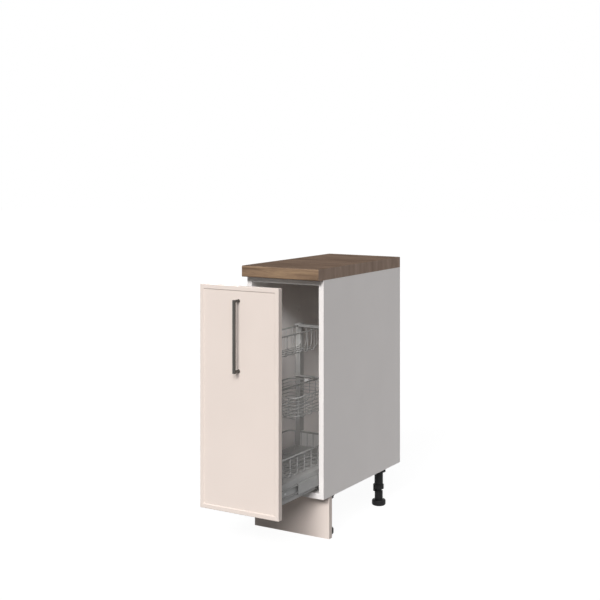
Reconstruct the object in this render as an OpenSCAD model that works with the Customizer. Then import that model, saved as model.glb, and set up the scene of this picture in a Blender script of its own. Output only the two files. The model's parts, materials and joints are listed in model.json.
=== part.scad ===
// Narrow base cabinet with a full-height pull-out that carries three wire baskets.
// X is the width, Y the depth with the front at the low end, Z is up. The origin lies on the
// floor, under the middle of the outline with the pull-out standing partly open.

/* [Cabinet] */
// Overall width of the cabinet
cabinet_w = 300; // [280:5:400]
// Depth of the side panels
cabinet_d = 566; // [550:1:620]
// Height of the side panels
cabinet_h = 720; // [700:1:800]
// Thickness of the carcass boards
board_t = 18; // [16:0.5:19]
// Thickness of the back panel
back_t = 3; // [2.5:0.5:6]
// Distance from the rear edges to the back panel
back_inset = 9; // [6:1:14]
// Depth of the grooves that hold the back panel
groove_depth = 7; // [5:1:9]
// Width of the two top rails
top_rail_w = 100; // [80:1:120]

/* [Worktop] */
// Thickness of the worktop
worktop_t = 38; // [28:1:40]
// Depth of the worktop
worktop_d = 600; // [590:1:640]
// Radius of the rounded front edges
worktop_edge_r = 4; // [2:0.5:8]

/* [Legs and plinth] */
// Height of the carcass above the floor
leg_h = 142; // [135:1:160]
// Width of the square leg flanges
flange_w = 62; // [56:1:70]
// Thickness of the leg flanges
flange_t = 4; // [3:0.5:6]
// Diameter of the round boss under each leg flange
boss_d = 50; // [44:1:50]
// Height of the boss
boss_h = 16; // [10:1:22]
// Outer diameter of the leg tubes
tube_d = 31; // [29:0.5:34]
// Outer diameter of the collar at the lower end of each tube
collar_d = 37; // [36:0.5:42]
// Height of the collar
collar_h = 15; // [12:0.5:20]
// Diameter of the threaded stem of each foot
stem_d = 22; // [18:0.5:23]
// Diameter of the foot disc
foot_d = 50; // [44:1:60]
// Height of the foot disc
foot_h = 21; // [16:1:24]
// Distance of the leg axes from the outer side faces
leg_side = 43; // [43:1:60]
// Distance of the front leg axes behind the front edges
leg_front = 92; // [88:1:110]
// Distance of the rear leg axes from the rear edges
leg_rear = 88; // [60:1:110]
// Thickness of the plinth board
plinth_t = 19; // [12:0.5:19]
// Gap beside the plinth board on each side
plinth_side_gap = 3; // [1:0.5:6]
// Setback of the plinth face behind the front edges
plinth_setback = 42; // [36:1:44]
// Gap between the plinth board and the floor
plinth_floor_gap = 1; // [1:0.5:4]

/* [Front panel] */
// Thickness of the front panel
front_t = 20; // [18:0.5:22]
// Gap beside the front panel on each side
front_side_gap = 1.5; // [1:0.25:3]
// Height of the front panel's lower edge above the carcass's lower edge
front_low = 1; // [0:0.5:4]
// Distance of the front panel's upper edge below the carcass's upper edge
front_high = 2; // [1:0.5:6]
// Gap between the closed front panel and the carcass
front_gap = 2; // [1.5:0.25:4]
// Width of the raised border
border_w = 13; // [8:0.5:40]
// Depth of the field inside the border
border_depth = 2.5; // [1:0.25:5]
// Width of the slope from the border down to the field
border_slope = 2.5; // [1:0.25:6]
// Radius of the outer front edges
front_edge_r = 2; // [1:0.25:4]

/* [Handle] */
// Overall length of the handle
handle_len = 230; // [120:1:400]
// Width of the square handle bar
handle_bar = 8.5; // [8:0.5:14]
// How far the handle stands out from the front panel
handle_reach = 29; // [26:0.5:45]
// Distance from the front panel's upper edge to the handle
handle_drop = 41; // [20:1:120]

/* [Pull-out] */
// How far the pull-out stands open
rest_open = 254; // [0:1:470]
// Full travel of the pull-out
travel = 470; // [400:1:480]
// Length of the runners
runner_len = 500; // [490:1:520]
// Height of the cabinet member of a runner
runner_h = 45.7; // [44:0.1:47]
// Width of the gap that a runner fills
runner_t = 12.7; // [12.6:0.1:13.5]
// Thickness of the runner steel
runner_steel = 1.2; // [1:0.05:1.3]
// Diameter of the runner balls
ball_d = 3.6; // [3.2:0.1:3.7]
// Height of the base channels above the bottom panel
base_lift = 13; // [8:1:20]
// Height of the base with its deck
base_h = 62; // [54:1:70]
// Width of the base channel's flanges
base_flange = 24; // [18:1:32]
// Thickness of the sheet steel
sheet_t = 1.5; // [1:0.1:2]
// Width of a rear post across the cabinet
post_w = 18; // [14:1:24]
// Depth of a rear post
post_d = 25; // [20:1:32]
// Height of the rear posts above the bottom panel
post_top = 508; // [505:1:560]
// Height of the rear plate above the bottom panel
rear_plate_top = 126; // [100:1:150]
// Clearance behind the closed pull-out
rear_clear = 10; // [6:1:20]
// Depth of the angle brackets behind the front panel
bracket_d = 24; // [18:1:30]

/* [Baskets] */
// Diameter of the rim rods
rim_d = 5; // [4:0.5:7]
// Diameter of the basket wires
wire_d = 2.5; // [2:0.1:3.5]
// Diameter of the crossbars
bar_d = 8; // [7:0.5:10]
// Gap between a basket rim and the edge of the base
rim_gap = 14.5; // [8:0.5:18]
// Corner radius of the rims
rim_corner_r = 20; // [16:1:30]
// Radius of the bends between the bottom and the side walls
side_bend_r = 10; // [6:1:14]
// Radius of the bends between the bottom and the end walls
end_bend_r = 24; // [12:1:28]
// Spacing of the wires that run across
cross_pitch = 44.3; // [30:0.1:60]
// Spacing of the wires that run lengthways
length_pitch = 24; // [18:1:30]
// Spacing of the lengthways wires of the upper basket
upper_pitch = 22; // [18:1:30]
// Spacing of the level wires of the middle basket
level_pitch = 12; // [9:0.5:16]
// Height of the lower rim above the bottom panel
lower_rim = 144; // [132:1:180]
// Distance of the lower basket in front of the rear posts
lower_rear = 74; // [20:1:90]
// Distance of the lower basket behind the front edges
lower_front = 17; // [14:1:60]
// Height of the middle rim above the bottom panel
middle_rim = 326; // [300:1:345]
// Depth of the middle basket below its rim
middle_depth = 71; // [50:1:90]
// Distance of the middle basket behind the front edges
middle_front = 156; // [60:1:200]
// Height of the upper rim above the bottom panel
upper_rim = 504; // [490:1:510]
// Depth of the upper basket below its rim
upper_depth = 72; // [50:1:90]
// Width of the upper basket between its side rods
upper_w = 96; // [84:1:130]
// Distance of the upper basket behind the front edges
upper_front = 45; // [34:1:90]
// Distance of the middle basket in front of the rear posts
hung_rear = 58; // [40:1:80]

/* [Hidden] */
$fn = 32;
// Gap left between pieces that rest against each other
seat = 0.1;
mount_hole_gap = 0.2;

// Cabinet levels and planes
floor_z = leg_h + board_t;
top_z = leg_h + cabinet_h;
inner_w = cabinet_w - 2 * board_t;
back_y = cabinet_d - back_inset - back_t;
worktop_front = cabinet_d - worktop_d;
panel_screw_d = 4;
dowel_d = 8;
dowel_len = 30;
dowel_in_side = 11;
cam_d = 15;
cam_h = 12.5;
cam_inset = 24;
cam_bolt_d = 6;
cam_bolt_in_side = 11;
rear_flange_y = cabinet_d - leg_rear - flange_w / 2;
// Rows of fittings: height of the board's middle, dowel places, cam places
fitting_rows = [
    [leg_h + board_t / 2, [leg_front - flange_w / 2 - 15, rear_flange_y - 44],
     [leg_front + flange_w / 2 + 12, rear_flange_y - 12]],
    [top_z - board_t / 2, [24], [top_rail_w - 30]],
    [top_z - board_t / 2, [back_y - 24], [back_y - top_rail_w + 30]]
];
side_hole_d = 5;
side_hole_depth = 11;
side_hole_y = 310;
side_hole_levels = [top_z - 150, top_z - 133];

// Front panel and handle
front_w = cabinet_w - 2 * front_side_gap;
front_z = leg_h + front_low;
front_h = cabinet_h - front_low - front_high;
front_back = -front_gap;
front_face = front_back - front_t;
handle_top = front_z + front_h - handle_drop;
handle_post_d = 9;
handle_post_inset = handle_post_d / 2;
handle_front = front_face - handle_reach;

// The outline's middle, front to back, at rest
mid_y = (cabinet_d + handle_front - rest_open) / 2;

// Runner sections: distances from the cabinet wall, and half heights
cab_member_u = 9.5;
mid_member_u0 = 3.4;
mid_member_u1 = 11;
slide_member_u0 = 6;
slide_member_u1 = runner_t - seat;
cab_half = runner_h / 2;
ball_gap = 0.1;
mid_half = cab_half - runner_steel - ball_d - 2 * ball_gap;
slide_half = mid_half - runner_steel - ball_d - 2 * ball_gap;
lip = 3;
runner_y = 4;
runner_z = leg_h + board_t + base_lift + base_h / 2;
cage_len = 220;
cage_y = runner_y + (runner_len - cage_len) / 2;
cage_steel = 0.5;
cage_strip = 2;
cage_balls = 6;
cage_ball_pitch = 38;
runner_screw_ys = [37, 261, 453];
rail_slot_ys = [101, 165, 325, 389];
rail_slot = [16, 4.6];
access_hole_ys = [133, 389];
access_hole_d = 10;
slide_screw_ys = [60, 250, 440];
runner_screw_d = 4.8;

// Pull-out frame
base_half = inner_w / 2 - runner_t;
base_z0 = floor_z + base_lift;
deck_top = base_z0 + base_h;
channel_top = deck_top - sheet_t - seat;
pull_front = front_back + seat;
pull_rear = back_y - rear_clear;
post_front = pull_rear - post_d;
post_out = base_half - sheet_t - seat;
post_in = post_out - post_w;
post_top_z = floor_z + post_top;
post_wall = 1.5;
bracket_top_z = floor_z + upper_rim + 40;
bracket_leg = 26;
frame_screw_d = 4;
rear_plate_y = post_front + 2;
rear_plate_return = 20;

// Baskets
rim_half = base_half - rim_gap - rim_d / 2;
upper_x0 = -rim_half;
upper_x1 = -rim_half + upper_w;
lower_y1 = post_front - lower_rear;
hung_y1 = post_front - hung_rear;
wall_gap = rim_d / 2 + seat + wire_d / 2;
wire_rise = 1;
level_wire_d = 2.5;
lower_bottom = deck_top - floor_z + seat + wire_d / 2;

// Bars and rods that carry the two hung baskets
rear_bar_y = post_front - seat - bar_d / 2;
front_bar_y = pull_front + bracket_d - bar_d / 2 - 2;
rod_y0 = front_bar_y + bar_d / 2 + seat;
rod_y1 = rear_bar_y - bar_d / 2 - seat;
upper_y1 = rod_y1 - rim_d / 2;
carrier_rise = rim_d + seat;
middle_bar = middle_rim + carrier_rise - rim_d / 2 - seat - bar_d / 2;
upper_bar = upper_rim + bar_d / 2 - 1;
clip_x = length_pitch
    * (wire_count(2 * rim_half, rim_corner_r, length_pitch) % 2 == 1 ? 1.5 : 2);
clip_w = 15;
clip_low = level_pitch - level_wire_d / 2 - seat;
clip_deep = 10;

white = [0.93, 0.93, 0.92];
steel = [0.74, 0.75, 0.76];
zinc = [0.66, 0.67, 0.68];
frame_grey = [0.72, 0.72, 0.71];
black = [0.08, 0.08, 0.08];
magnolia = [0.92, 0.87, 0.83];
oak = [0.50, 0.41, 0.33];

// ---- Placing ----

// Cabinet pieces: y is measured from the carcass's front edges
module in_cabinet() {
    translate([0, -mid_y, 0]) children();
}

// Moving pieces are drawn closed; share says how much of the opening they follow
module pulled(share = 1) {
    translate([0, -mid_y - share * rest_open, 0]) children();
}

// Left pieces as drawn, right pieces mirrored
module sided(s) {
    mirror([s > 0 ? 1 : 0, 0, 0]) children();
}

// ---- Shapes ----

// A block between two corners
module block(low, high) {
    translate(low) cube(high - low);
}

// A section drawn in X and Z, extruded from y0 to y1
module along_y(y0, y1) {
    translate([0, y1, 0]) rotate([90, 0, 0]) linear_extrude(height = y1 - y0) children();
}

// A section drawn in Y and Z, extruded from x0 to x1
module along_x(x0, x1) {
    translate([x0, 0, 0]) rotate([90, 0, 90]) linear_extrude(height = x1 - x0) children();
}

// Points of a quarter arc about a centre, from angle a0 anticlockwise
function quarter(centre, r, a0, steps = 6) =
    [for (i = [0 : steps]) centre + r * [cos(a0 + 90 * i / steps), sin(a0 + 90 * i / steps)]];

// A rectangle whose corners at the low end of its first axis are rounded
module soft_front(u0, u1, v0, v1, r) {
    polygon(concat(
        quarter([u0 + r, v0 + r], r, 180),
        [[u1, v0], [u1, v1]],
        quarter([u0 + r, v1 - r], r, 90)
    ));
}

// A channel section open towards +u, with its web at u = 0
module channel(depth, half, t, lip_h) {
    polygon([
        [0, -half], [depth, -half], [depth, -half + lip_h], [depth - t, -half + lip_h],
        [depth - t, -half + t], [t, -half + t], [t, half - t], [depth - t, half - t],
        [depth - t, half - lip_h], [depth, half - lip_h], [depth, half], [0, half]
    ]);
}

// Straight round bars along the three axes
module bar_x(x0, x1, y, z, d) {
    translate([x0, y, z]) rotate([0, 90, 0]) cylinder(d = d, h = x1 - x0);
}

module bar_y(x, y0, y1, z, d) {
    translate([x, y0, z]) rotate([-90, 0, 0]) cylinder(d = d, h = y1 - y0);
}

module bar_z(x, y, z0, z1, d) {
    translate([x, y, z0]) cylinder(d = d, h = z1 - z0);
}

function unit(v) = v / norm(v);
function snap(v) = round(v * 100) / 100;
function turn(a, b, c) = let (u = b - a, v = c - b) atan2(u.x * v.y - u.y * v.x, u * v);
function trim(a, b, c, r) = r * tan(abs(turn(a, b, c)) / 2);

// A round rod through points in the XY plane, every inner point bent to radius r
module bent_rod(corners, d, r) {
    pts = [for (c = corners) [snap(c.x), snap(c.y)]];
    last = len(pts) - 1;
    for (i = [0 : last - 1]) {
        dir = unit(pts[i + 1] - pts[i]);
        cut0 = i == 0 ? 0 : trim(pts[i - 1], pts[i], pts[i + 1], r);
        cut1 = i + 1 == last ? 0 : trim(pts[i], pts[i + 1], pts[i + 2], r);
        start = pts[i] + dir * cut0;
        translate([start.x, start.y, 0])
            rotate([0, 0, atan2(dir.y, dir.x)])
                rotate([0, 90, 0])
                    cylinder(d = d, h = norm(pts[i + 1] - pts[i]) - cut0 - cut1);
    }
    for (i = [1 : 1 : last - 1]) {
        a = turn(pts[i - 1], pts[i], pts[i + 1]);
        side = a > 0 ? 1 : -1;
        into = unit(pts[i] - pts[i - 1]);
        out = unit(pts[i + 1] - pts[i]);
        cut = trim(pts[i - 1], pts[i], pts[i + 1], r);
        centre = pts[i] - into * cut + side * r * [-into.y, into.x];
        from = side > 0 ? pts[i] - into * cut : pts[i] + out * cut;
        translate([centre.x, centre.y, 0])
            rotate([0, 0, atan2(from.y - centre.y, from.x - centre.x)])
                rotate_extrude(angle = abs(a)) translate([r, 0]) circle(d = d);
    }
}

// A closed level rod round a rectangle with rounded corners
module rod_loop(low, high, r, d) {
    x0 = snap(low.x);
    x1 = snap(high.x);
    y0 = snap(low.y);
    y1 = snap(high.y);
    for (x = [x0, x1]) bar_y(x, y0 + r, y1 - r, 0, d);
    for (y = [y0, y1]) bar_x(x0 + r, x1 - r, y, 0, d);
    corners = [[x1 - r, y1 - r, 0], [x0 + r, y1 - r, 90],
               [x0 + r, y0 + r, 180], [x1 - r, y0 + r, 270]];
    for (c = corners)
        translate([c[0], c[1], 0]) rotate([0, 0, c[2]])
            rotate_extrude(angle = 90) translate([r, 0]) circle(d = d);
}

// A pan-head screw standing on z = 0 with its shank going down
module screw(d, length, head_d, head_h) {
    cylinder(d = head_d, h = head_h);
    translate([0, 0, -length]) cylinder(d = d, h = length);
}

// ---- Carcass ----

module side_panel(s) {
    color(white) in_cabinet() sided(s) {
        difference() {
            block([-cabinet_w / 2, 0, leg_h], [-inner_w / 2, cabinet_d, top_z]);
            block([-inner_w / 2 - groove_depth, back_y - seat, leg_h - 1],
                  [-inner_w / 2 + 1, back_y + back_t + seat, top_z + 1]);
            for (row = fitting_rows) {
                for (y = row[1])
                    bar_x(-inner_w / 2 - dowel_in_side - 0.5, -inner_w / 2 + 1, y, row[0],
                          dowel_d + mount_hole_gap);
                for (y = row[2])
                    bar_x(-inner_w / 2 - cam_bolt_in_side - 0.5, -inner_w / 2 + 1, y, row[0],
                          cam_bolt_d + mount_hole_gap);
            }
            for (y = runner_screw_ys)
                bar_x(-inner_w / 2 - 13, -inner_w / 2 + 1, y, runner_z,
                      runner_screw_d + mount_hole_gap);
            for (z = side_hole_levels)
                bar_x(-inner_w / 2 - side_hole_depth, -inner_w / 2 + 1, side_hole_y, z,
                      side_hole_d);
        }
    }
}

// A level carcass board with its end bores for dowels and cam fittings
module fitted_board(y0, y1, z0, row) {
    difference() {
        block([-inner_w / 2 + seat, y0, z0], [inner_w / 2 - seat, y1, z0 + board_t]);
        for (s = [-1, 1]) sided(s) {
            for (y = row[1])
                bar_x(-inner_w / 2 - 1, -inner_w / 2 + dowel_len - dowel_in_side + 0.5, y,
                      row[0], dowel_d + mount_hole_gap);
            for (y = row[2]) {
                bar_x(-inner_w / 2 - 1, -inner_w / 2 + cam_inset, y, row[0],
                      cam_bolt_d + mount_hole_gap);
                bar_z(-inner_w / 2 + cam_inset, y, z0 - 1, z0 + cam_h + 0.5,
                      cam_d + mount_hole_gap);
            }
        }
    }
}

module bottom_panel() {
    color(white) in_cabinet() difference() {
        fitted_board(0, back_y + back_t + seat, leg_h, fitting_rows[0]);
        block([-cabinet_w, back_y - seat, floor_z - groove_depth],
              [cabinet_w, back_y + back_t + 1, floor_z + 1]);
        for (p = leg_places, sx = [-1, 1], sy = [-1, 1])
            bar_z(p.x + sx * flange_hole.x, p.y + sy * flange_hole.y, leg_h - 1, leg_h + 12,
                  panel_screw_d + mount_hole_gap);
    }
}

module front_top_rail() {
    color(white) in_cabinet() difference() {
        fitted_board(0, top_rail_w, top_z - board_t, fitting_rows[1]);
        rail_screw_holes([top_rail_w / 2]);
    }
}

module rear_top_rail() {
    color(white) in_cabinet() difference() {
        fitted_board(back_y - top_rail_w, back_y - seat, top_z - board_t, fitting_rows[2]);
        rail_screw_holes([back_y - top_rail_w / 2]);
    }
}

worktop_screw_x = 70;

module rail_screw_holes(ys) {
    for (y = ys, s = [-1, 1])
        bar_z(s * worktop_screw_x, y, top_z - board_t - 1, top_z + 1, panel_screw_d + 1);
}

module back_panel() {
    w = inner_w / 2 + groove_depth - 0.5;
    color(white) in_cabinet()
        block([-w, back_y, floor_z - groove_depth + 0.3], [w, back_y + back_t, top_z]);
}

module dowels() {
    color([0.80, 0.66, 0.46]) in_cabinet()
        for (row = fitting_rows, y = row[1], s = [-1, 1]) sided(s)
            bar_x(-inner_w / 2 - dowel_in_side, -inner_w / 2 - dowel_in_side + dowel_len, y,
                  row[0], dowel_d);
}

module cam_fittings() {
    color(zinc) in_cabinet()
        for (row = fitting_rows, y = row[2], s = [-1, 1]) sided(s) {
            z0 = row[0] - board_t / 2;
            // The cam, bored for the bolt and slotted for a screwdriver
            difference() {
                bar_z(-inner_w / 2 + cam_inset, y, z0, z0 + cam_h, cam_d);
                bar_x(-inner_w / 2 + cam_inset - cam_d, -inner_w / 2 + cam_inset + 2.5, y,
                      row[0], cam_bolt_d + mount_hole_gap);
                block([-inner_w / 2 + cam_inset - 4, y - 0.6, z0 - 1],
                      [-inner_w / 2 + cam_inset + 4, y + 0.6, z0 + 1.5]);
            }
            bar_x(-inner_w / 2 - cam_bolt_in_side, -inner_w / 2 + cam_inset + 2, y, row[0],
                  cam_bolt_d);
        }
}

// ---- Worktop ----

worktop_screw_len = board_t + 14;

module worktop() {
    color(oak) in_cabinet() difference() {
        along_x(-cabinet_w / 2, cabinet_w / 2)
            soft_front(worktop_front, cabinet_d, top_z + seat, top_z + worktop_t,
                       worktop_edge_r);
        for (y = [top_rail_w / 2, back_y - top_rail_w / 2], s = [-1, 1])
            bar_z(s * worktop_screw_x, y, top_z - 1, top_z + worktop_screw_len - board_t + 1,
                  panel_screw_d + mount_hole_gap);
    }
}

module worktop_screws() {
    color(zinc) in_cabinet()
        for (y = [top_rail_w / 2, back_y - top_rail_w / 2], s = [-1, 1])
            translate([s * worktop_screw_x, y, top_z - board_t - seat]) rotate([180, 0, 0])
                screw(panel_screw_d, worktop_screw_len, 8, 2.4);
}

// ---- Legs and plinth ----

leg_x = cabinet_w / 2 - leg_side;
leg_places = [
    [-leg_x, leg_front], [leg_x, leg_front],
    [-leg_x, cabinet_d - leg_rear], [leg_x, cabinet_d - leg_rear]
];
// The screws stand beside the boss, and clear of the ends of the bottom board
flange_hole = [boss_d / 2 - 9, flange_w / 2 - 5.5];
collar_z = 60;
lug_drop = 8;
lug_angle = 100;
neck_d = 29.4;
neck_bore = 30.4;
collar_bore_h = collar_h + 2;
stem_top = leg_h - flange_t - 18;
stem_bore_top = leg_h - flange_t - 6;
foot_edge_r = 6;
foot_top_r = 5;

module leg_socket(i) {
    p = leg_places[i];
    color(black) in_cabinet() translate([p.x, p.y, 0]) difference() {
        union() {
            // Square flange with clipped corners
            translate([0, 0, leg_h - flange_t - seat]) linear_extrude(height = flange_t)
                clipped_square(flange_w, 6);
            // Boss that stiffens the tube under the flange
            bar_z(0, 0, leg_h - flange_t - boss_h, leg_h - flange_t, boss_d);
            bar_z(0, 0, collar_z + 2, leg_h - flange_t, tube_d);
            bar_z(0, 0, collar_z, collar_z + collar_h, collar_d);
            // Lug that hangs below the collar on its outer side
            translate([0, 0, collar_z - lug_drop]) rotate([0, 0, 140])
                rotate_extrude(angle = lug_angle)
                    translate([neck_bore / 2, 0])
                        square([collar_d / 2 - neck_bore / 2 + 1.8, lug_drop + collar_h]);
        }
        bar_z(0, 0, collar_z - lug_drop - 1, collar_z + collar_bore_h, neck_bore);
        bar_z(0, 0, collar_z, stem_bore_top, stem_d + 0.1);
        for (sx = [-1, 1], sy = [-1, 1])
            bar_z(sx * flange_hole.x, sy * flange_hole.y, leg_h - flange_t - 10, leg_h + 1,
                  panel_screw_d + 0.6);
    }
}

// A square with its corners cut off at 45 degrees
module clipped_square(w, c) {
    h = w / 2;
    polygon([[-h + c, -h], [h - c, -h], [h, -h + c], [h, h - c],
             [h - c, h], [-h + c, h], [-h, h - c], [-h, -h + c]]);
}

module foot(i) {
    p = leg_places[i];
    color(black) in_cabinet() translate([p.x, p.y, 0]) {
        rotate_extrude() polygon(concat(
            [[0, 0], [foot_d / 2 - foot_edge_r, 0]],
            [for (a = [-75 : 15 : 0])
                [foot_d / 2 - foot_edge_r + foot_edge_r * cos(a),
                 foot_edge_r + foot_edge_r * sin(a)]],
            [for (a = [0 : 15 : 90])
                [foot_d / 2 - foot_top_r + foot_top_r * cos(a),
                 foot_h - foot_top_r + foot_top_r * sin(a)]],
            [[neck_d / 2, foot_h],
             [neck_d / 2, collar_z - lug_drop], [stem_d / 2, collar_z - lug_drop],
             [stem_d / 2, stem_top - 2], [stem_d / 2 - 2, stem_top], [0, stem_top]]
        ));
    }
}

module socket_screws() {
    color(zinc) in_cabinet()
        for (p = leg_places, sx = [-1, 1], sy = [-1, 1])
            translate([p.x + sx * flange_hole.x, p.y + sy * flange_hole.y,
                       leg_h - flange_t - 2 * seat])
                rotate([180, 0, 0]) screw(panel_screw_d, flange_t + 11, 8, 2.4);
}

plinth_half = cabinet_w / 2 - plinth_side_gap;
plinth_top = leg_h - 2;

module plinth_board() {
    color(magnolia) in_cabinet() difference() {
        block([-plinth_half, plinth_setback, plinth_floor_gap],
              [plinth_half, plinth_setback + plinth_t, plinth_top]);
        for (i = [0, 1], s = [-1, 1])
            bar_y(leg_places[i].x, plinth_setback + plinth_t - 11,
                  plinth_setback + plinth_t + 1, clip_z + s * clip_screw_dz,
                  panel_screw_d - 0.8 + mount_hole_gap);
    }
}

clip_z = 100;
clip_half_h = 13;
clip_screw_dz = 8;
clip_plate_t = 3;

module plinth_clips() {
    plate_y = plinth_setback + plinth_t + seat;
    color(black) in_cabinet() for (i = [0, 1]) {
        x = leg_places[i].x;
        y = leg_places[i].y;
        difference() {
            union() {
                // Plate against the board, arm, and ring round the tube
                block([x - 15, plate_y, clip_z - clip_half_h],
                      [x + 15, plate_y + clip_plate_t, clip_z + clip_half_h]);
                block([x - 9, plate_y + 1, clip_z - 5], [x + 9, y - tube_d / 2 + 1, clip_z + 5]);
                bar_z(x, y, clip_z - 5, clip_z + 5, tube_d + 6);
            }
            bar_z(x, y, clip_z - 6, clip_z + 6, tube_d + mount_hole_gap);
            // Mouth through which the ring snaps on
            block([x - 10, y + 8, clip_z - 6], [x + 10, y + tube_d, clip_z + 6]);
            for (s = [-1, 1])
                bar_y(x, plate_y - 1, plate_y + 10, clip_z + s * clip_screw_dz,
                      panel_screw_d - 0.8 + mount_hole_gap);
        }
        for (s = [-1, 1])
            translate([x, plate_y + clip_plate_t + seat, clip_z + s * clip_screw_dz])
                rotate([-90, 0, 0]) screw(panel_screw_d - 0.8, 12, 5, 1.6);
    }
}

// ---- Runners ----

// Runner sections stand at the left wall; u runs from the wall to the base
module at_wall(s) {
    sided(s) translate([-inner_w / 2, 0, runner_z]) children();
}

module runner_rail(s) {
    color(steel) in_cabinet() at_wall(s) difference() {
        along_y(runner_y, runner_y + runner_len)
            translate([seat, 0]) channel(cab_member_u, cab_half, runner_steel, lip);
        for (y = runner_screw_ys) bar_x(-1, 3, y, 0, runner_screw_d + mount_hole_gap);
        // Slots for the other fixing places
        for (y = rail_slot_ys)
            block([-1, y - rail_slot.x / 2, -rail_slot.y / 2],
                  [3, y + rail_slot.x / 2, rail_slot.y / 2]);
    }
}

module runner_rail_screws() {
    color(zinc) in_cabinet() for (s = [-1, 1], y = runner_screw_ys)
        at_wall(s) translate([runner_steel + 2 * seat, y, 0]) rotate([0, 90, 0])
            screw(runner_screw_d, 13, 8, 1);
}

module runner_middle(s) {
    color(steel) pulled(0.5) at_wall(s) difference() {
        along_y(runner_y, runner_y + runner_len)
            translate([mid_member_u0, 0])
                channel(mid_member_u1 - mid_member_u0, mid_half, runner_steel, lip);
        // Hole that gives a screwdriver way to the fixing screws
        for (y = access_hole_ys) bar_x(0, 6, y, 0, access_hole_d);
    }
}

module runner_slide(s) {
    color(steel) pulled() at_wall(s) difference() {
        along_y(runner_y, runner_y + runner_len)
            translate([slide_member_u1, 0]) mirror([1, 0])
                channel(slide_member_u1 - slide_member_u0, slide_half, runner_steel,
                        runner_steel + 0.2);
        for (y = slide_screw_ys)
            bar_x(8, 14, y, 0, frame_screw_d + mount_hole_gap);
    }
}

module runner_slide_screws() {
    color(zinc) pulled() for (s = [-1, 1], y = slide_screw_ys)
        at_wall(s) translate([slide_member_u1 - runner_steel - seat, y, 0])
            rotate([0, -90, 0]) screw(frame_screw_d, 6, 7, 1);
}

// A cage with its two rows of balls: u0 is its web, u1 the strip's free edge
module ball_cage(u0, u1, row) {
    ball_u = (u0 + cage_steel + u1) / 2;
    first = cage_y + (cage_len - (cage_balls - 1) * cage_ball_pitch) / 2;
    difference() {
        along_y(cage_y, cage_y + cage_len) {
            translate([u0, -row - cage_strip / 2])
                square([cage_steel, 2 * row + cage_strip]);
            for (v = [-1, 1])
                translate([u0, v * row - cage_strip / 2]) square([u1 - u0, cage_strip]);
        }
        for (v = [-1, 1], k = [0 : cage_balls - 1])
            bar_z(ball_u, first + k * cage_ball_pitch, v * row - ball_d, v * row + ball_d,
                  ball_d + mount_hole_gap);
    }
    for (v = [-1, 1], k = [0 : cage_balls - 1])
        translate([ball_u, first + k * cage_ball_pitch, v * row]) sphere(d = ball_d);
}

outer_row = cab_half - runner_steel - ball_gap - ball_d / 2;
inner_row = mid_half - runner_steel - ball_gap - ball_d / 2;

module outer_cage(s) {
    color(zinc) pulled(0.25) at_wall(s)
        ball_cage(mid_member_u0 - cage_steel - 0.2, cab_member_u - runner_steel - seat,
                  outer_row);
}

module inner_cage(s) {
    color(zinc) pulled(0.75) at_wall(s)
        ball_cage(mid_member_u0 + runner_steel + 0.2, mid_member_u1 - runner_steel - 0.2,
                  inner_row);
}

// ---- Pull-out frame ----

channel_half = (channel_top - base_z0) / 2;
post_screw_dz = 25;

module base_channel(s) {
    color(frame_grey) pulled() sided(s) difference() {
        union() {
            along_y(pull_front + sheet_t + seat, post_front - seat)
                translate([-base_half, base_z0 + channel_half])
                    channel(base_flange, channel_half, sheet_t, 6);
            block([-base_half, pull_front, base_z0],
                  [-base_half + sheet_t, pull_rear, channel_top]);
        }
        for (y = slide_screw_ys)
            bar_x(-base_half - 1, -base_half + 3, y, runner_z,
                  frame_screw_d + mount_hole_gap);
        for (dz = [-1, 1])
            bar_x(-base_half - 1, -base_half + 3, post_front + post_d / 2,
                  runner_z + dz * post_screw_dz, frame_screw_d + mount_hole_gap);
    }
}

module base_deck() {
    color(frame_grey) pulled() difference() {
        block([-base_half, pull_front + sheet_t + seat, deck_top - sheet_t],
              [base_half, post_front - seat, deck_top]);
        // Drain slots across the middle
        for (y = [80 : 60 : post_front - 60])
            block([-50, y, deck_top - sheet_t - 1], [50, y + 8, deck_top + 1]);
    }
}

front_plate_screw_x = 80;

module base_front_plate() {
    x1 = base_half - sheet_t - seat;
    color(frame_grey) pulled() difference() {
        union() {
            block([-x1, pull_front, base_z0], [x1, pull_front + sheet_t, deck_top]);
            // Returns that lie inside the channels
            for (s = [-1, 1]) sided(s)
                block([-x1, pull_front, base_z0 + sheet_t + 1.5],
                      [-x1 + sheet_t, pull_front + bracket_d, channel_top - sheet_t - 1.5]);
        }
        for (s = [-1, 1], dz = [-1, 1])
            bar_y(s * front_plate_screw_x, pull_front - 1, pull_front + 5,
                  runner_z + dz * post_screw_dz / 1.5, frame_screw_d + mount_hole_gap);
    }
}

module rear_plate() {
    x1 = post_in - seat;
    top = floor_z + rear_plate_top;
    color(frame_grey) pulled() difference() {
        union() {
            block([-x1, rear_plate_y, base_z0], [x1, rear_plate_y + sheet_t, top]);
            block([-x1, rear_plate_y, top - sheet_t], [x1, rear_plate_y + 12, top]);
            for (s = [-1, 1]) sided(s)
                block([-x1, rear_plate_y, base_z0],
                      [-x1 + sheet_t, rear_plate_y + rear_plate_return, top]);
        }
        for (s = [-1, 1], dz = rear_plate_screw_dz) sided(s)
            bar_x(-x1 - 1, -x1 + 4, rear_plate_screw_y, base_z0 + dz,
                  frame_screw_d + mount_hole_gap);
    }
}

rear_plate_screw_y = rear_plate_y + rear_plate_return / 2 + 1;
rear_plate_screw_dz = [20, 90];

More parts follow.
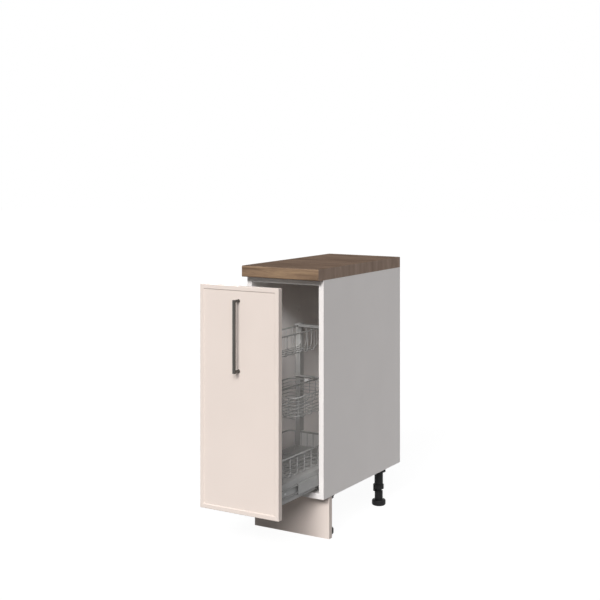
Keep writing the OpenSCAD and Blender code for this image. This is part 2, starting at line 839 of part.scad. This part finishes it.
module rear_post(s) {
    color(frame_grey) pulled() sided(s) difference() {
        block([-post_out, post_front, base_z0], [-post_in, pull_rear, post_top_z]);
        block([-post_out + post_wall, post_front + post_wall, base_z0 - 1],
              [-post_in - post_wall, pull_rear - post_wall, post_top_z + 1]);
        for (dz = [-1, 1])
            bar_x(-post_out - 1, -post_out + post_wall + 1, post_front + post_d / 2,
                  runner_z + dz * post_screw_dz, frame_screw_d + mount_hole_gap);
        for (dz = rear_plate_screw_dz)
            bar_x(-post_in - post_wall - 1, -post_in + 1, rear_plate_screw_y, base_z0 + dz,
                  frame_screw_d + mount_hole_gap);
    }
}

module post_caps() {
    color(black) pulled() for (s = [-1, 1]) sided(s) {
        block([-post_out, post_front, post_top_z + seat],
              [-post_in, pull_rear, post_top_z + 3]);
        block([-post_out + post_wall + seat, post_front + post_wall + seat, post_top_z - 12],
              [-post_in - post_wall - seat, pull_rear - post_wall - seat, post_top_z + 1]);
    }
}

bracket_screw_x = base_half - 18;
bracket_screw_levels = [upper_rim - 12, middle_rim + 90, middle_rim - 50, lower_rim - 30];

module front_bracket(s) {
    color(frame_grey) pulled() sided(s) difference() {
        union() {
            block([-base_half, pull_front, deck_top + seat],
                  [-base_half + bracket_leg, pull_front + sheet_t, bracket_top_z]);
            block([-base_half, pull_front, deck_top + seat],
                  [-base_half + sheet_t, pull_front + bracket_d, bracket_top_z]);
        }
        for (z = bracket_screw_levels)
            bar_y(-bracket_screw_x, pull_front - 1, pull_front + 5, floor_z + z,
                  frame_screw_d + mount_hole_gap);
    }
}

// Screws that hold the posts to the channels and the rear plate
module frame_screws() {
    color(zinc) pulled() for (s = [-1, 1]) sided(s) {
        for (dz = [-1, 1])
            translate([-base_half - seat, post_front + post_d / 2,
                       runner_z + dz * post_screw_dz])
                rotate([0, -90, 0]) screw(frame_screw_d, 8, 7, 1.2);
        for (dz = rear_plate_screw_dz)
            translate([-post_in + sheet_t + 2 * seat, rear_plate_screw_y, base_z0 + dz])
                rotate([0, 90, 0]) screw(frame_screw_d, 8, 7, 1.4);
    }
}

// ---- Crossbars, carriers and clips ----

// Two bars between the rear posts and two between the front brackets
module crossbars() {
    x1 = base_half - sheet_t - seat;
    color(steel) pulled() for (z = [middle_bar, upper_bar]) {
        bar_x(-post_out, post_out, rear_bar_y, floor_z + z, bar_d);
        bar_x(-x1, x1, front_bar_y, floor_z + z, bar_d);
    }
}

// One rod that lies on the middle bars and the middle rim, and two short arms behind it
module carrier_rods() {
    color(steel) pulled() {
        bar_y(0, front_bar_y - 2, rear_bar_y + 2, floor_z + middle_rim + carrier_rise,
              rim_d);
        for (s = [-1, 1])
            bar_y(s * clip_x, hung_y1 + clip_deep / 2 + seat, rod_y1, floor_z + middle_rim,
                  rim_d);
    }
}

// Plastic clips that hold the middle rim to the two arms
module rim_clips() {
    color([0.88, 0.88, 0.86]) pulled() for (s = [-1, 1])
        translate([s * clip_x, hung_y1, floor_z + middle_rim]) difference() {
            block([-clip_w / 2, -clip_deep / 2, -clip_low],
                  [clip_w / 2, clip_deep / 2, rim_d / 2 + 1.5]);
            bar_x(-clip_w, clip_w, 0, 0, rim_d + mount_hole_gap);
            // Slot through which the rim snaps in
            block([-clip_w, -rim_d / 2 + 0.4, -clip_low - 1], [clip_w, rim_d / 2 - 0.4, 0]);
        }
}

// ---- Baskets ----

// How many lengthways wires fit between two corners
function wire_inset(corner_r) = max(wall_gap + side_bend_r, corner_r + wire_d);
function wire_count(width, corner_r, pitch) =
    floor((width - 2 * wire_inset(corner_r)) / pitch) + 1;

// Wires of one basket: crossing wires, then lengthways wires lying on them
module basket_wires(low, high, rim_z, depth, pitch = length_pitch, corner_r = rim_corner_r) {
    drop = depth + wire_rise;
    x0 = low.x + wall_gap;
    x1 = high.x - wall_gap;
    y0 = low.y + wall_gap;
    y1 = high.y - wall_gap;
    middle = (x0 + x1) / 2;
    first = low.y + rim_corner_r + wire_d;
    crossings = floor((high.y - rim_corner_r - wire_d - first) / cross_pitch);
    count = wire_count(high.x - low.x, corner_r, pitch);
    step = wire_d + seat;
    translate([0, 0, floor_z + rim_z + wire_rise]) {
        for (k = [0 : crossings])
            translate([0, first + k * cross_pitch, 0]) rotate([90, 0, 0])
                bent_rod([[x0, 0], [x0, -drop], [x1, -drop], [x1, 0]], wire_d, side_bend_r);
        for (k = [0 : count - 1])
            translate([middle + (k - (count - 1) / 2) * pitch, 0, 0]) rotate([90, 0, 90])
                bent_rod([[y0, 0], [y0, -drop + step], [y1, -drop + step], [y1, 0]],
                         wire_d, end_bend_r);
    }
}

// How far in a level wire sits where it lies on a bend that starts below the rim by start
function tuck(below, start, r) =
    below <= start ? 0 : r - sqrt(max(0, pow(r, 2) - pow(below - start, 2)));

// Level wires that go round the outside of the middle basket
module middle_level_wires() {
    out = (wire_d + level_wire_d) / 2 + seat;
    levels = floor((middle_depth - level_pitch / 2) / level_pitch);
    color(steel) pulled() for (k = [1 : levels]) {
        below = k * level_pitch;
        side = wall_gap - out + tuck(below, middle_depth - side_bend_r, side_bend_r + out);
        end = wall_gap - out
            + tuck(below, middle_depth - end_bend_r - wire_d - seat, end_bend_r + out);
        translate([0, 0, floor_z + middle_rim - below])
            rod_loop([-rim_half + side, middle_front + end],
                     [rim_half - side, hung_y1 - end], rim_corner_r, level_wire_d);
    }
}

module lower_rim_rod() {
    color(steel) pulled() translate([0, 0, floor_z + lower_rim])
        rod_loop([-rim_half, lower_front], [rim_half, lower_y1], rim_corner_r, rim_d);
}

module lower_basket_wires() {
    color(steel) pulled()
        basket_wires([-rim_half, lower_front], [rim_half, lower_y1], lower_rim,
                     lower_rim - lower_bottom);
}

module middle_rim_rod() {
    color(steel) pulled() translate([0, 0, floor_z + middle_rim])
        rod_loop([-rim_half, middle_front], [rim_half, hung_y1], rim_corner_r, rim_d);
}

module middle_basket_wires() {
    color(steel) pulled()
        basket_wires([-rim_half, middle_front], [rim_half, hung_y1], middle_rim,
                     middle_depth);
}

// Two long rods from bar to bar, and two cross rods between them
module upper_rim_rods() {
    color(steel) pulled() {
        for (x = [upper_x0, upper_x1]) bar_y(x, rod_y0, rod_y1, floor_z + upper_rim, rim_d);
        for (y = [upper_front, upper_y1])
            bar_x(upper_x0 + rim_d / 2 + seat, upper_x1 - rim_d / 2 - seat, y,
                  floor_z + upper_rim, rim_d);
    }
}

module upper_basket_wires() {
    color(steel) pulled()
        basket_wires([upper_x0, upper_front], [upper_x1, upper_y1], upper_rim, upper_depth,
                     upper_pitch, 0);
}

// ---- Front panel and handle ----

front_screw_len = 13;

module front_panel() {
    color(magnolia) pulled() difference() {
        intersection() {
            translate([0, 0, front_z]) linear_extrude(height = front_h)
                rotate([0, 0, 90]) soft_front(front_face, front_back, -front_w / 2,
                                              front_w / 2, front_edge_r);
            along_x(-front_w / 2 - 1, front_w / 2 + 1)
                soft_front(front_face, front_back, front_z, front_z + front_h, front_edge_r);
        }
        front_field();
        for (z = handle_post_zs())
            bar_y(0, front_face - 1, front_back + 1, z, handle_screw_d + 0.6);
        front_screw_places()
            bar_z(0, 0, -front_screw_len - 1, 1, frame_screw_d - 0.5 + mount_hole_gap);
    }
}

// The sunk field: two crossing extrusions, so that all four of its sides slope
module front_field() {
    x1 = front_w / 2 - border_w;
    z0 = front_z + border_w;
    z1 = front_z + front_h - border_w;
    y1 = front_face + border_depth;
    over = front_face - 1;
    grow = border_slope * (1 + 1 / border_depth);
    intersection() {
        translate([0, 0, z0 - 20]) linear_extrude(height = z1 - z0 + 40)
            polygon([[-x1 - grow + border_slope, over], [x1 + grow - border_slope, over],
                     [x1 - border_slope, y1], [-x1 + border_slope, y1]]);
        along_x(-x1 - 20, x1 + 20)
            polygon([[over, z0 - grow + border_slope], [over, z1 + grow - border_slope],
                     [y1, z1 - border_slope], [y1, z0 + border_slope]]);
    }
}

// Places of the screws that go from the frame into the panel's back, pointing forwards
module front_screw_places() {
    for (s = [-1, 1]) {
        for (dz = [-1, 1])
            translate([s * front_plate_screw_x, front_back,
                       runner_z + dz * post_screw_dz / 1.5]) rotate([-90, 0, 0]) children();
        for (z = bracket_screw_levels)
            translate([s * bracket_screw_x, front_back, floor_z + z])
                rotate([-90, 0, 0]) children();
    }
}

module front_screws() {
    color(zinc) pulled() front_screw_places()
        translate([0, 0, sheet_t + 2 * seat])
            screw(frame_screw_d - 0.5, front_screw_len + sheet_t, 8, 1.6);
}

bumper_inset = board_t / 2;

module front_bumpers() {
    color([0.9, 0.9, 0.9]) pulled() for (s = [-1, 1], z = [leg_h + 20, top_z - 20])
        bar_y(s * (cabinet_w / 2 - bumper_inset), front_back + seat, -seat, z, 8);
}

handle_screw_d = 4;
handle_foot_d = 11;
handle_foot_h = 5;
handle_soft = 1.5;
handle_thread = 18;

function handle_post_zs() = [handle_top - handle_post_inset,
                             handle_top - handle_len + handle_post_inset];

module handle() {
    bar_back = handle_front + handle_bar;
    color([0.30, 0.28, 0.27]) pulled() difference() {
        union() {
            translate([0, 0, handle_top - handle_len]) linear_extrude(height = handle_len)
                softened([-handle_bar / 2, handle_front], [handle_bar / 2, bar_back],
                         handle_soft);
            for (z = handle_post_zs())
                translate([0, front_face - seat, z]) rotate([90, 0, 0]) {
                    cylinder(d1 = handle_foot_d, d2 = handle_post_d, h = handle_foot_h);
                    cylinder(d = handle_post_d, h = handle_reach - handle_bar / 2);
                }
        }
        // Threaded holes for the screws
        for (z = handle_post_zs())
            bar_y(0, front_face - handle_thread, front_face + 1, z,
                  handle_screw_d + mount_hole_gap);
    }
}

// A rectangle with all four corners rounded
module softened(low, high, r) {
    polygon(concat(
        quarter([low.x + r, low.y + r], r, 180, 3), quarter([high.x - r, low.y + r], r, 270, 3),
        quarter([high.x - r, high.y - r], r, 0, 3), quarter([low.x + r, high.y - r], r, 90, 3)
    ));
}

module handle_screws() {
    color(zinc) pulled() for (z = handle_post_zs())
        translate([0, front_back + seat, z]) rotate([-90, 0, 0])
            screw(handle_screw_d, front_t + handle_thread - 4, 9, 2.2);
}

// ---- The pieces, one node at a time ----

side_panel(-1);  // side_panel_left
side_panel(1);  // side_panel_right
bottom_panel();
front_top_rail();
rear_top_rail();
back_panel();
dowels();
cam_fittings();
worktop();
worktop_screws();
plinth_board();
plinth_clips();
leg_socket(0);  // leg_socket_front_left
leg_socket(1);  // leg_socket_front_right
leg_socket(2);  // leg_socket_rear_left
leg_socket(3);  // leg_socket_rear_right
socket_screws();
foot(0);  // foot_front_left
foot(1);  // foot_front_right
foot(2);  // foot_rear_left
foot(3);  // foot_rear_right
runner_rail(-1);  // runner_rail_left
runner_rail(1);  // runner_rail_right
runner_rail_screws();
runner_middle(-1);  // runner_middle_left
runner_middle(1);  // runner_middle_right
outer_cage(-1);  // outer_cage_left
outer_cage(1);  // outer_cage_right
inner_cage(-1);  // inner_cage_left
inner_cage(1);  // inner_cage_right
runner_slide(-1);  // runner_slide_left
runner_slide(1);  // runner_slide_right
runner_slide_screws();
base_channel(-1);  // base_channel_left
base_channel(1);  // base_channel_right
base_deck();
base_front_plate();
rear_plate();
rear_post(-1);  // rear_post_left
rear_post(1);  // rear_post_right
post_caps();
front_bracket(-1);  // front_bracket_left
front_bracket(1);  // front_bracket_right
crossbars();
carrier_rods();
rim_clips();
lower_rim_rod();
lower_basket_wires();
middle_rim_rod();
middle_basket_wires();
middle_level_wires();
upper_rim_rods();
upper_basket_wires();
frame_screws();
front_panel();
front_screws();
front_bumpers();
handle();
handle_screws();
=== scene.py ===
"""Looks of the narrow pull-out base cabinet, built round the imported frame."""

import json
import math

import bpy
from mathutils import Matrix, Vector

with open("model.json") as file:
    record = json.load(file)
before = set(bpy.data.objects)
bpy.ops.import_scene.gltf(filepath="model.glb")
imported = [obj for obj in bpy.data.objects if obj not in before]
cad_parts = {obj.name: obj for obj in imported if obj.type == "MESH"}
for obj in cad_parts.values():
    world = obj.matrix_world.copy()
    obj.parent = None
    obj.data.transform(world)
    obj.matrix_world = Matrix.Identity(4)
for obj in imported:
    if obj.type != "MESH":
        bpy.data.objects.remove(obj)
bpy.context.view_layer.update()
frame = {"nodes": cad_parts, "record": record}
nodes = frame["nodes"]
scene = bpy.context.scene
scene.view_settings.view_transform = "Standard"

# Tones and places of what repeats
WHITE = (1.0, 1.0, 1.0)
NONE, FULL = 0.0, 1.0  # ends of a mask

# ---- Camera: level, with the horizon above the picture's middle ----

PICTURE = 600.0  # pixels across the square picture
FOCAL = 1163.5  # focal length in those pixels
HORIZON = 162.0  # row of the horizon, counted from the top
SENSOR = 36.0
AZIMUTH = math.radians(31.1)
# The fitted place is counted from the carcass's front, which lies this far from the origin
CARCASS_FRONT = -0.1305

cam_data = bpy.data.cameras.new("camera")
cam_data.sensor_width = SENSOR
cam_data.lens = FOCAL / PICTURE * SENSOR
cam_data.shift_x = 0.6 / PICTURE
cam_data.shift_y = (HORIZON - PICTURE / 2) / PICTURE
cam_data.clip_start, cam_data.clip_end = 0.1, 60
camera = bpy.data.objects.new("camera", cam_data)
scene.collection.objects.link(camera)
camera.location = (2.0526, -3.3077 + CARCASS_FRONT, 1.2505)
camera.rotation_euler = (math.radians(90), 0, AZIMUTH)
scene.camera = camera


# ---- Materials ----


class Nodes:
    """Adds nodes to one material and joins them."""

    def __init__(self, name):
        self.mat = bpy.data.materials.new(name)
        self.mat.use_nodes = True
        self.tree = self.mat.node_tree
        self.tree.nodes.clear()
        self.out = self.add("ShaderNodeOutputMaterial")

    def add(self, kind, values=None, **settings):
        n = self.tree.nodes.new(kind)
        for k, v in settings.items():
            setattr(n, k, v)
        for k, v in (values or {}).items():
            if isinstance(v, bpy.types.NodeSocket):
                self.tree.links.new(v, n.inputs[k])
            else:
                n.inputs[k].default_value = v
        return n

    def coords(self, scale=(1, 1, 1), turn=(0, 0, 0)):
        tex = self.add("ShaderNodeTexCoord")
        return self.add(
            "ShaderNodeMapping",
            {"Vector": tex.outputs["Object"], "Scale": scale, "Rotation": turn},
        ).outputs["Vector"]

    def noise(self, scale, detail=2.0, rough=0.5, warp=0.0, at=None, out="Fac"):
        values = {"Scale": scale, "Detail": detail, "Roughness": rough, "Distortion": warp}
        values["Vector"] = at or self.coords()
        return self.add("ShaderNodeTexNoise", values).outputs[out]

    def ramp(self, fac, *stops):
        n = self.add("ShaderNodeValToRGB", {"Fac": fac})
        els = n.color_ramp.elements
        while len(els) < len(stops):
            els.new(0.5)
        for el, (pos, col) in zip(els, stops):
            el.position = pos
            el.color = (*col, 1) if isinstance(col, tuple) else (col, col, col, 1)
        return n.outputs["Color"]

    def mix(self, fac, a, b, kind="MIX"):
        n = self.add("ShaderNodeMix", data_type="RGBA", blend_type=kind)
        for k, v in ((0, fac), (6, a), (7, b)):
            if isinstance(v, bpy.types.NodeSocket):
                self.tree.links.new(v, n.inputs[k])
            else:
                n.inputs[k].default_value = (*v, 1) if isinstance(v, tuple) else v
        return n.outputs[2]

    def math(self, kind, a, b=0.5):
        return self.add("ShaderNodeMath", {0: a, 1: b}, operation=kind).outputs[0]

    def bump(self, height, strength, distance, normal=None):
        values = {"Height": height, "Strength": strength, "Distance": distance}
        if normal is not None:
            values["Normal"] = normal
        return self.add("ShaderNodeBump", values).outputs["Normal"]

    def surface(self, **values):
        names = {k.replace("_", " "): v for k, v in values.items()}
        shader = self.add("ShaderNodeBsdfPrincipled", names)
        self.tree.links.new(shader.outputs[0], self.out.inputs[0])
        return self.mat


def tone(color, k):
    return tuple(c * k for c in color)


def board_mat():
    """White melamine-faced board: faint pearl grain and a soft sheen."""
    m = Nodes("carcass_board")
    base = (0.930, 0.898, 0.876)
    fine = m.noise(900, 3, 0.6)
    cloud = m.noise(6, 2)
    col = m.mix(m.ramp(cloud, (0.3, NONE), (0.7, FULL)), tone(base, 0.985), tone(base, 1.01))
    col = m.mix(m.ramp(fine, (0.35, NONE), (0.65, 0.06)), col, tone(base, 0.9))
    rough = m.ramp(m.noise(40, 3), (0.3, 0.36), (0.7, 0.46))
    return m.surface(
        Base_Color=col, Roughness=rough, Normal=m.bump(fine, 0.12, 0.0004),
        Specular_IOR_Level=0.4,
    )


def foil_mat():
    """Matt magnolia foil over fibreboard, with a very fine leather-like press texture."""
    m = Nodes("front_foil")
    base = (0.82, 0.722, 0.658)
    fine = m.noise(1400, 3, 0.65)
    wave = m.noise(5, 2)
    col = m.mix(m.ramp(wave, (0.3, NONE), (0.7, FULL)), tone(base, 0.985), tone(base, 1.01))
    col = m.mix(m.ramp(fine, (0.3, NONE), (0.7, 0.05)), col, tone(base, 0.88))
    rough = m.ramp(m.noise(60, 3), (0.3, 0.44), (0.7, 0.52))
    bump = m.bump(wave, 0.05, 0.002, m.bump(fine, 0.15, 0.0003))
    return m.surface(Base_Color=col, Roughness=rough, Normal=bump, Specular_IOR_Level=0.35)


def worktop_mat():
    """Brown woodgrain laminate: staves along the width, each with its own tone."""
    m = Nodes("worktop_oak")
    at = m.coords()
    sep = m.add("ShaderNodeSeparateXYZ", {"Vector": at})
    x, y, z = (sep.outputs[k] for k in "XYZ")
    depth = m.math("SUBTRACT", y, z)
    row = m.math("FLOOR", m.math("MULTIPLY", depth, 17.0), 0.0)
    shift = m.math("MULTIPLY", m.math("FRACT", m.math("MULTIPLY", row, 0.618), 0.0), 0.9)
    along = m.math("FLOOR", m.math("MULTIPLY", m.math("ADD", x, shift), 2.1), 0.0)
    cell = m.add("ShaderNodeCombineXYZ", {"X": along, "Y": row, "Z": 3.0}).outputs[0]
    stave = m.add("ShaderNodeTexWhiteNoise", {"Vector": cell}, noise_dimensions="3D")
    tint = stave.outputs["Value"]
    spread = m.math("MULTIPLY", tint, 7.0)
    grain_at = m.add(
        "ShaderNodeCombineXYZ",
        {
            "X": m.math("ADD", m.math("MULTIPLY", x, 6.0), spread),
            "Y": m.math("MULTIPLY", y, 70.0),
            "Z": m.math("MULTIPLY", z, 70.0),
        },
    ).outputs[0]
    streak = m.noise(1.0, 5, 0.6, 0.6, at=grain_at)
    pore_at = m.add(
        "ShaderNodeCombineXYZ",
        {
            "X": m.math("MULTIPLY", x, 45.0),
            "Y": m.math("MULTIPLY", y, 900.0),
            "Z": m.math("MULTIPLY", z, 900.0),
        },
    ).outputs[0]
    pores = m.noise(1.0, 2, 0.5, 0.2, at=pore_at)
    light = (0.375, 0.262, 0.168)
    mid = (0.268, 0.182, 0.122)
    dark = (0.160, 0.108, 0.076)
    col = m.ramp(streak, (0.28, dark), (0.5, mid), (0.74, light))
    deeper = m.mix(FULL, col, (0.72, 0.70, 0.68), "MULTIPLY")
    col = m.mix(m.ramp(tint, (0.0, NONE), (1.0, 0.5)), col, deeper)
    col = m.mix(m.ramp(pores, (0.30, 0.55), (0.44, NONE)), col, tone(dark, 0.7))
    # The ends carry a plainer strip with soft upright bands, painted lighter as painted light;
    # the top is painted cooler than the edges and the edges lighter, painted light set by which
    # way each face looks
    face = m.add(
        "ShaderNodeSeparateXYZ", {"Vector": m.add("ShaderNodeTexCoord").outputs["Normal"]}
    ).outputs
    band_at = m.add(
        "ShaderNodeCombineXYZ",
        {"Y": m.math("MULTIPLY", y, 34.0), "Z": m.math("MULTIPLY", z, 7.0)},
    ).outputs[0]
    band = m.noise(1.0, 3, 0.5, 0.3, at=band_at)
    end_mid = (0.296, 0.222, 0.178)
    # Painted light: the ends' bands are painted 1.16 to 1.62 times as light as their base tone
    end_bands_painted_lighter = m.ramp(band, (0.3, tone(end_mid, 1.16)), (0.7, tone(end_mid, 1.62)))
    on_end = m.ramp(m.math("ABSOLUTE", face["X"], 0.0), (0.5, NONE), (0.8, FULL))
    on_top = m.ramp(face["Z"], (0.5, NONE), (0.9, FULL))
    # Painted light: the front and back edges are painted lighter and the top cooler, chosen by
    # face direction
    edge_painted_lighter = m.mix(FULL, col, (1.10, 1.10, 1.07), "MULTIPLY")
    top_painted_cooler = m.mix(FULL, col, (0.96, 1.00, 1.11), "MULTIPLY")
    col = m.mix(on_top, edge_painted_lighter, top_painted_cooler)
    col = m.mix(on_end, col, end_bands_painted_lighter)
    rough = m.ramp(streak, (0.3, 0.85), (0.7, 0.75))
    height = m.mix(0.5, streak, pores)
    return m.surface(
        Base_Color=col, Roughness=rough, Normal=m.bump(height, 0.25, 0.0006),
        Specular_IOR_Level=0.0,
    )


def metal_mat(name, color, rough, stretch=(1, 1, 1), marks=0.12, bump=0.1, metallic=1.0):
    """Drawn, rolled or brushed metal: lines along the piece, smudges and small wear."""
    m = Nodes(name)
    lines = m.noise(260, 4, 0.6, at=m.coords(stretch))
    smudge = m.noise(22, 3, 0.55, 0.4)
    drawn = m.ramp(lines, (0.3, NONE), (0.7, FULL))
    col = m.mix(drawn, tone(color, 1 - marks), tone(color, 1 + marks * 0.5))
    col = m.mix(m.ramp(smudge, (0.45, NONE), (0.75, 0.22)), col, tone(color, 0.8))
    r = m.ramp(m.mix(0.5, lines, smudge), (0.3, rough * 0.8), (0.7, min(1, rough * 1.25)))
    return m.surface(
        Base_Color=col, Metallic=metallic, Roughness=r, Normal=m.bump(lines, bump, 0.0003)
    )


def coat_mat(name, color, rough=0.45, peel=0.25):
    """Powder coat with a fine orange-peel surface."""
    m = Nodes(name)
    skin = m.noise(650, 2, 0.5)
    cloud = m.noise(14, 3)
    col = m.mix(m.ramp(cloud, (0.3, NONE), (0.7, FULL)), tone(color, 0.95), tone(color, 1.03))
    r = m.ramp(skin, (0.3, rough - 0.06), (0.7, rough + 0.08))
    return m.surface(Base_Color=col, Roughness=r, Normal=m.bump(skin, peel, 0.0004))


def plastic_mat(name, color, rough=0.42, grain=900, strength=0.3, spec=0.5):
    """Moulded plastic with a spark-eroded grain and slightly worn high spots."""
    m = Nodes(name)
    fine = m.noise(grain, 3, 0.6)
    worn = m.noise(30, 4, 0.6)
    worn_color = tuple(c * 1.15 + 0.008 for c in color)
    col = m.mix(m.ramp(worn, (0.4, NONE), (0.8, FULL)), color, worn_color)
    r = m.ramp(worn, (0.3, rough - 0.06), (0.7, rough + 0.1))
    return m.surface(
        Base_Color=col, Roughness=r, Normal=m.bump(fine, strength, 0.0004),
        Specular_IOR_Level=spec,
    )


def dowel_mat():
    """Beech with fine flecks along its length."""
    m = Nodes("dowel_wood")
    fleck = m.noise(60, 4, 0.6, at=m.coords((1, 12, 12)))
    col = m.ramp(fleck, (0.3, (0.46, 0.30, 0.16)), (0.7, (0.66, 0.48, 0.29)))
    return m.surface(Base_Color=col, Roughness=0.6, Normal=m.bump(fleck, 0.2, 0.0003))


mats = {
    "carcass_board": board_mat(),
    "front_foil": foil_mat(),
    "worktop_oak": worktop_mat(),
    "dowel_wood": dowel_mat(),
    "fastener_zinc": metal_mat("fastener_zinc", (0.42, 0.43, 0.43), 0.5),
    # Partly non-metallic, to come out at the grey that the photo shows
    "runner_steel": metal_mat(
        "runner_steel", (0.36, 0.36, 0.355), 0.6, (1, 0.04, 1), 0.08, metallic=0.3
    ),
    "wire_chrome": metal_mat(
        "wire_chrome", (0.48, 0.48, 0.47), 0.5, marks=0.05, bump=0.03, metallic=0.35
    ),
    "handle_metal": metal_mat(
        "handle_metal", (0.105, 0.102, 0.095), 0.42, (1, 1, 0.03), 0.18, 0.15
    ),
    "frame_paint": coat_mat("frame_paint", (0.46, 0.46, 0.45)),
    "light_plastic": plastic_mat("light_plastic", (0.86, 0.86, 0.84)),
    "leg_plastic": plastic_mat("leg_plastic", (0.006, 0.006, 0.0065), 0.55, spec=0.25),
    "bumper_rubber": plastic_mat("bumper_rubber", (0.62, 0.62, 0.61), 0.3, 400, 0.1),
}
for part in frame["record"]["subparts"]:
    obj = nodes[part["node"]]
    obj.data.materials.clear()
    obj.data.materials.append(mats[part["material_slot"]])
# The plate behind the lower basket gets a lighter coat than the rest of the frame: partly its own
# lighter paint, partly painted light that offsets the shade it sits in
nodes["rear_plate"].data.materials[0] = coat_mat("plate_coat_with_painted_light", (0.80, 0.80, 0.78))

# ---- Floor ----


def floor_mat():
    """Pale floor: white where it is seen, with the object's shadow kept faint."""
    m = Nodes("floor")
    path = m.add("ShaderNodeLightPath").outputs
    seen = m.math("MAXIMUM", path["Is Camera Ray"], path["Is Glossy Ray"])
    tint = m.mix(seen, tone(WHITE, 0.15), tone(WHITE, 0.90))
    lit = m.add("ShaderNodeBsdfDiffuse", {"Color": tint})
    glow = m.add("ShaderNodeEmission", {"Color": (1, 1, 1, 1), "Strength": 1.08})
    share = m.math("MULTIPLY", seen, 0.88)
    floor_shader = m.add(
        "ShaderNodeMixShader", {0: share, 1: lit.outputs[0], 2: glow.outputs[0]}
    )
    m.tree.links.new(floor_shader.outputs[0], m.out.inputs[0])
    return m.mat


bpy.ops.mesh.primitive_plane_add(size=40, location=(0, 0, 0))
floor = bpy.context.object
floor.name = "floor"
floor.data.materials.append(floor_mat())

# ---- Light: a soft key from the front, a broad fill and a pale surround ----


def lamp(name, energy, angle, towards, color):
    data = bpy.data.lights.new(name, "SUN")
    data.energy = energy
    data.angle = math.radians(angle)
    data.color = color
    obj = bpy.data.objects.new(name, data)
    scene.collection.objects.link(obj)
    obj.rotation_mode = "QUATERNION"
    obj.rotation_quaternion = Vector(towards).to_track_quat("Z", "Y")
    obj.location = [4 * k for k in towards]


lamp("key", 1.98, 16, (0.16, -0.86, 0.56), (1.0, 0.998, 0.985))
lamp("side", 1.34, 22, (0.45, -0.76, 0.58), (1.0, 0.98, 0.995))
lamp("fill", 0.36, 90, (0.05, -0.75, 0.66), (1.0, 0.99, 1.0))
lamp("back", 1.1, 14, (-0.62, 0.78, 0.05), (1.0, 1.0, 1.0))

# A weak lamp by the carcass's right wall, for the brightness of the inner walls in the photo
bounce_data = bpy.data.lights.new("bounce", "AREA")
bounce_data.shape = "RECTANGLE"
bounce_data.size, bounce_data.size_y = 0.22, 0.14
bounce_data.energy = 0.050
bounce = bpy.data.objects.new("bounce", bounce_data)
scene.collection.objects.link(bounce)
bounce.location = (0.129, 0.23, 0.24)
bounce.rotation_euler = (math.radians(90), 0, math.radians(90))
bounce.visible_camera = False
bounce.visible_glossy = False

world = bpy.data.worlds.new("surround")
scene.world = world
world.use_nodes = True
wt = world.node_tree
wt.nodes.clear()
w_out, w_mix, w_path, w_max = (
    wt.nodes.new("ShaderNode" + kind)
    for kind in ("OutputWorld", "MixShader", "LightPath", "Math")
)
w_max.operation = "MAXIMUM"


def surround(color, strength):
    """A background that lights or shows with one colour."""
    n = wt.nodes.new("ShaderNodeBackground")
    n.inputs["Color"].default_value = (*color, 1)
    n.inputs["Strength"].default_value = strength
    return n


w_dim = surround((1.0, 0.975, 1.0), 0.05)
w_seen = surround(WHITE, 1.0)
for source, target in (
    (w_path.outputs["Is Camera Ray"], w_max.inputs[0]),
    (w_path.outputs["Is Glossy Ray"], w_max.inputs[1]),
    (w_max.outputs[0], w_mix.inputs[0]),
    (w_dim.outputs[0], w_mix.inputs[1]),
    (w_seen.outputs[0], w_mix.inputs[2]),
    (w_mix.outputs[0], w_out.inputs[0]),
):
    wt.links.new(source, target)
